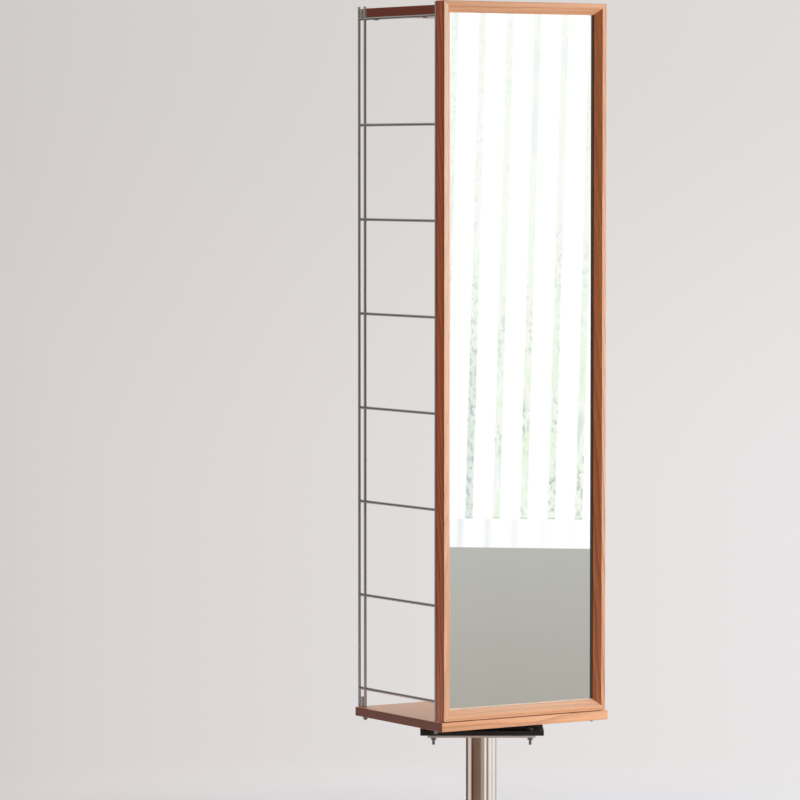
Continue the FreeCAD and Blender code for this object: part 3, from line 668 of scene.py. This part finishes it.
def dress_wood():
    """Cuts each wooden piece from its own place in the tree.

    A row gives the place of the heart from the piece's middle, the shift of the figures, and the looks.
    """
    stile = {"grain": "Z", "lean": 7.0}
    left = {"spacing": 0.012, "wobble": 3.0, "vein": 0.85, "tone": 1.08, "details": left_stile_details}
    right = {"spacing": 0.010, "wobble": 3.2, "details": right_stile_details}
    rail = {"grain": "X", "spacing": 0.007, "vein": 0.45}
    lower = {"tone": 1.12, "details": bottom_rail_details}
    board = {"grain": "X", "spacing": 0.008, "vein": 0.42}
    base = {"tone": 1.18, "end_tone": 0.62}
    cuts = {
        "left_stile": ((0.020, 0.045, 0), (0.31, 0.05, 0.40), {**stile, **left}),
        "right_stile": ((-0.034, -0.006, 0), (-0.06, 0.27, 1.70), {**stile, **right}),
        "top_rail": ((0, 0.004, 0.045), (0.75, 0.11, -1.62), {**rail, "tone": 1.03}),
        "bottom_rail": ((0, -0.003, -0.050), (1.35, 0.23, -0.13), {**rail, **lower}),
        "bottom_board": ((0, 0.025, -0.055), (2.10, 0.04, -0.22), {**board, **base}),
        "top_board": ((0, -0.030, 0.060), (3.30, -0.05, -1.66), {**board, "end_tone": 0.88}),
        "backing_beads": ((0.02, 0.050, 0), (0.52, 0.33, 2.90), {"grain": "Z"}),
        "corner_keys": ((0, 0, 0.05), (4.0, 1.0, 1.0), {"grain": "X"}),
    }
    for name, (offset, shift, looks) in cuts.items():
        heart = [a + b for a, b in zip(middle_of(name), offset)]
        dress([name], wood_material("wood_" + name, heart=heart, shift=shift, **looks))


def dress_metal():
    """Rods, plates, tube and bearing by name, and the fixings by their kind."""
    sides = ("left", "right")
    rods = [side + "_" + place + "_upright" for side in sides for place in ("front", "inner", "outer")]
    rods += [side + "_" + kind for side in sides for kind in ("rungs", "pegs")]
    # Fixings under the slab and the board get the zinc with painted shade
    dimmer = ["slab_bolts", "slab_nuts", "slab_washers", "upright_nuts", "upright_washers"]
    kinds = ("_bolt", "_bolts", "_nut", "_nuts", "_washer", "_washers", "_screws", "_rivets", "_clips")
    dressed = {
        "rod_steel": rods + ["frame_brackets"],
        "stainless_tube": ["post_tube"],
        "stainless_plate": ["head_plate"],
        "zinc_steel": [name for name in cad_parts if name.endswith(kinds) and name not in dimmer],
        "shaded_zinc": dimmer,
        "bare_steel": ["lower_race", "upper_race", "foot_plug"],
        "ball_steel": ["bearing_balls"],
        "bush_bronze": ["pivot_bush"],
    }
    for metal, names in dressed.items():
        dress(names, metal_material(metal, *metals[metal]))


def dress_coats():
    """Painted, rubber and plastic pieces, then the mirror glass and its backing."""
    dressed = {
        "black_coat": ["turntable_slab", "base_disc"],
        "dark_plate": ["lower_plate", "turning_plate"],
        "pad_rubber": ["base_pads"],
        "cage_nylon": ["ball_cage"],
        "packer_plastic": ["frame_packers"],
    }
    for coat, names in dressed.items():
        dress(names, coated_material(coat, *coats[coat]))
    dress(["mirror_glass"], mirror_material())
    dress(["mirror_backing"], hardboard_material())


def card_noise(tree, place, look):
    """Noise on the card; its look is features per metre on each axis, and detail."""
    scale, detail = look
    mapped = add(tree, "ShaderNodeMapping", {"Vector": place, "Scale": scale}).outputs[0]
    return noise(tree, mapped, detail, card_noise_roughness)


def off_centre(tree, phase, shift_share):
    """Distance from the middle of a gap, or from a place beside it, as a share of the pitch."""
    whole = math_node(tree, "FRACT", math_node(tree, "ADD", phase, 0.5 + shift_share))
    return math_node(tree, "ABSOLUTE", math_node(tree, "SUBTRACT", whole, 0.5))


def gap_colour(tree, place, across, height):
    """Tints that thin out into a haze higher up, with dark speckles in patches."""
    lower = spread(tree, height, 1.0, 0.0, gap_haze_heights, True)
    tints = ramp(tree, card_noise(tree, place, gap_tint_noise), gap_tints)
    tint = mix(tree, spread(tree, lower, *gap_tint_shares), gap_haze, tints)
    shade = spread(tree, across, 1.0, 0.0, shade_fade)
    shade = product(tree, shade, spread(tree, lower, 0.0, 1.0, shade_range))
    tint = mix(tree, shade, tint, shade_colour, "MULTIPLY")
    speckles = spread(tree, card_noise(tree, place, speckle_noise), 0.0, 1.0, speckle_range)
    thicker = spread(tree, across, patch_gain, 0.0, shade_fade)
    patches = math_node(tree, "ADD", card_noise(tree, place, patch_noise), thicker)
    patches = spread(tree, patches, 0.0, 1.0, patch_range)
    dark = product(tree, speckles, patches, spread(tree, lower, *speckle_shares))
    return mix(tree, dark, tint, speckle_colour)


def ledge_colour(tree, place, across, phase):
    """A pale ledge with one soft fold beside each gap, fainter to the right."""
    folds = below(tree, off_centre(tree, phase, fold_shift_share), fold_half_share, fold_soft_share)
    folds = product(tree, folds, spread(tree, card_noise(tree, place, fold_noise), fold_least_share, 1.0))
    folds = product(tree, folds, spread(tree, across, *fold_fade_shares, fold_fade))
    return mix(tree, folds, alike(ledge_level), fold_shade)


def card_material():
    """Bright upright stripes with tinted gaps, over a pale ledge and a grey foot."""
    material, tree = fresh_material("window_light")
    place = object_place(tree)
    parts = parts_of(tree, place)
    across, height = parts["X"], parts["Z"]
    lean = product(tree, math_node(tree, "SUBTRACT", height, stripe_datum), stripe_lean)
    phase = math_node(tree, "DIVIDE", math_node(tree, "SUBTRACT", across, lean), stripe_pitch)
    gaps = below(tree, off_centre(tree, phase, 0.0), gap_half_share, gap_soft_share)
    view = mix(tree, gaps, alike(stripe_level), gap_colour(tree, place, across, height))
    level = math_node(tree, "SUBTRACT", height, product(tree, across, card_slope))
    off_ledge = math_node(tree, "ABSOLUTE", math_node(tree, "SUBTRACT", level, ledge_top))
    line = product(tree, below(tree, off_ledge, line_half_height, line_soft), gaps, line_share)
    view = mix(tree, line, view, speckle_colour)
    ledge = ledge_colour(tree, place, across, phase)
    view = mix(tree, below(tree, level, ledge_top - ledge_drop, level_soft), view, ledge)
    rise = spread(tree, level, 0.0, 1.0, (0.0, foot_top))
    foot = mix(tree, rise, foot_lower_colour, foot_upper_colour)
    view = mix(tree, below(tree, level, foot_top, level_soft), view, foot)
    add(tree, "ShaderNodeOutputMaterial", {"Surface": glow(tree, view)})
    return material


def warm_material():
    material, tree = fresh_material("warm_wall")
    add(tree, "ShaderNodeOutputMaterial", {"Surface": glow(tree, (*warm_card_colour, 1))})
    return material


def bands_material(name, bands):
    """Soft light and dark bands by the angle round the object; sharp reflections pass through them."""
    material, tree = fresh_material(name)
    place = parts_of(tree, object_place(tree))
    angle = math_node(tree, "ARCTAN2", place["X"], product(tree, place["Y"], -1.0))
    turn = spread(tree, angle, 0.0, 1.0, (-math.pi, math.pi))
    stops = [((degrees + 180) / 360, colour) for degrees, colour in bands]
    above = spread(tree, place["Z"], 0.0, 1.0, band_tops, True)
    colour = mix(tree, above, ramp(tree, turn, stops), above_bands)
    sharp = add(tree, "ShaderNodeLightPath").outputs["Is Singular Ray"]
    surface = mix_shaders(tree, sharp, glow(tree, colour), clear(tree))
    add(tree, "ShaderNodeOutputMaterial", {"Surface": surface})
    return material


def add_glowing_piece(name, points, faces, material, place, turn):
    """A card or ring that the camera never sees."""
    mesh = bpy.data.meshes.new(name)
    mesh.from_pydata(points, [], faces)
    mesh.materials.append(material)
    card = bpy.data.objects.new(name, mesh)
    card.location = place
    card.rotation_euler = (0, 0, turn)
    card.visible_camera = False
    card.visible_shadow = False
    card.visible_transmission = False
    bpy.context.collection.objects.link(card)
    return card


def add_card(name, place, heading, width, height, material):
    """An upright rectangle that faces along a level heading."""
    half = width / 2
    points = [(-half, 0, 0), (half, 0, 0), (half, 0, height), (-half, 0, height)]
    turn = math.atan2(heading[0], -heading[1])
    return add_glowing_piece(name, points, [(0, 1, 2, 3)], material, (*place, 0), turn)


def add_cards():
    """The striped card that the mirror shows in the picture, and the warm card at the left."""
    place = [part * card_distance for part in mirrored_view]
    striped = add_card("window_card", place, mirrored_view, card_width, card_height, card_material())
    striped.visible_diffuse = False
    place = (-warm_card_distance, 0)
    warm = add_card("warm_wall_card", place, (-1, 0), warm_card_width, warm_card_height, warm_material())
    warm.visible_glossy = False


def add_rings():
    """Two open rings that only the gloss sees; X is the picture's right and -Y points to the camera."""
    rings = (
        ("room_ring", room_radius, room_height, room_bands),
        ("skirt_ring", skirt_radius, skirt_height, post_bands),
    )
    for name, radius, height, bands in rings:
        points = []
        faces = []
        for index in range(ring_steps):
            angle = 2 * math.pi * index / ring_steps
            points += [(radius * math.sin(angle), -radius * math.cos(angle), z) for z in (0.0, height)]
            low, after = 2 * index, 2 * ((index + 1) % ring_steps)
            faces.append((low, after, after + 1, low + 1))
        material = bands_material(name, bands)
        ring = add_glowing_piece(name, points, faces, material, (0, 0, 0), -camera_heading)
        ring.visible_diffuse = False


def add_lights():
    """A soft key from the right, a fill from behind as from a pale wall, and a weak one from above."""
    for name, (place, target, size, watts, colour) in area_lights.items():
        data = bpy.data.lights.new(name, "AREA")
        data.shape = "SQUARE"
        data.size = size
        data.energy = watts
        data.color = colour
        light = bpy.data.objects.new(name, data)
        light.location = place
        light.rotation_euler = (Vector(target) - Vector(place)).to_track_quat("-Z", "Y").to_euler()
        light.visible_glossy = False
        bpy.context.collection.objects.link(light)


def wall_colour(tree):
    """The pale background: a little darker to the left and above."""
    direction = add(tree, "ShaderNodeTexCoord").outputs["Generated"]
    across = dot_product(tree, direction, picture_right)
    side = spread(tree, across, 0.0, 1.0, (-wall_half_width, wall_half_width))
    side = math_node(tree, "POWER", side, wall_side_power)
    lower = spread(tree, parts_of(tree, direction)["Z"], 0.0, 1.0, wall_rise_range, True)
    left = mix(tree, lower, wall_upper_left, wall_lower_left)
    right = mix(tree, lower, wall_upper_right, wall_lower_right)
    return mix(tree, side, left, right)


def seen_directly(tree):
    """1 for rays that show the background, 0 for rays that gather light."""
    path = add(tree, "ShaderNodeLightPath")
    seen = path.outputs["Is Camera Ray"]
    for name in ("Is Glossy Ray", "Is Transmission Ray"):
        seen = math_node(tree, "MAXIMUM", seen, path.outputs[name])
    return seen


def add_world():
    """A pale background for the camera and for reflections, and an even soft light on everything."""
    world = bpy.data.worlds.new("studio")
    bpy.context.scene.world = world
    world.use_nodes = True
    tree = world.node_tree
    tree.nodes.clear()
    colour = mix(tree, seen_directly(tree), ambient_colour, wall_colour(tree))
    background = add(tree, "ShaderNodeBackground", {"Color": colour})
    add(tree, "ShaderNodeOutputWorld", {"Surface": background.outputs[0]})


def floor_material():
    """A pale floor that keeps the shadow and fades into the background at its rim."""
    material, tree = fresh_material("pale_floor")
    place = object_place(tree)
    colour = two_tones(tree, mottle(tree, floor_mottle), floor_tones)
    diffuse = add(tree, "ShaderNodeBsdfDiffuse", {"Color": colour})
    across = dot_product(tree, place, picture_right)
    side = spread(tree, across, *floor_lift_range, (-floor_half_width, floor_half_width))
    strength = product(tree, seen_directly(tree), side)
    lift = add(tree, "ShaderNodeEmission", {"Color": floor_lift_colour, "Strength": strength})
    lit = add(tree, "ShaderNodeAddShader", {0: diffuse.outputs[0], 1: lift.outputs[0]}).outputs[0]
    fade = spread(tree, length_of(tree, place), 0.0, 1.0, floor_fade, True)
    add(tree, "ShaderNodeOutputMaterial", {"Surface": mix_shaders(tree, fade, lit, clear(tree))})
    return material


def add_floor():
    bpy.ops.mesh.primitive_circle_add(vertices=ring_steps, radius=floor_radius, fill_type="NGON")
    floor = bpy.context.object
    floor.name = "studio_floor"
    floor.data.materials.append(floor_material())


def add_camera():
    data = bpy.data.cameras.new("picture_camera")
    data.sensor_fit = "HORIZONTAL"
    data.sensor_width = sensor_mm
    data.lens = camera_focal_pixels / picture_pixels * sensor_mm
    data.clip_end = camera_reach
    camera = bpy.data.objects.new("picture_camera", data)
    camera.location = camera_place
    camera.rotation_euler = (math.pi / 2 - camera_tilt, 0, -camera_heading)
    bpy.context.collection.objects.link(camera)
    bpy.context.scene.camera = camera


dress_wood()
dress_metal()
dress_coats()
add_cards()
add_rings()
add_lights()
add_world()
add_floor()
add_camera()
bpy.context.scene.view_settings.view_transform = "Standard"
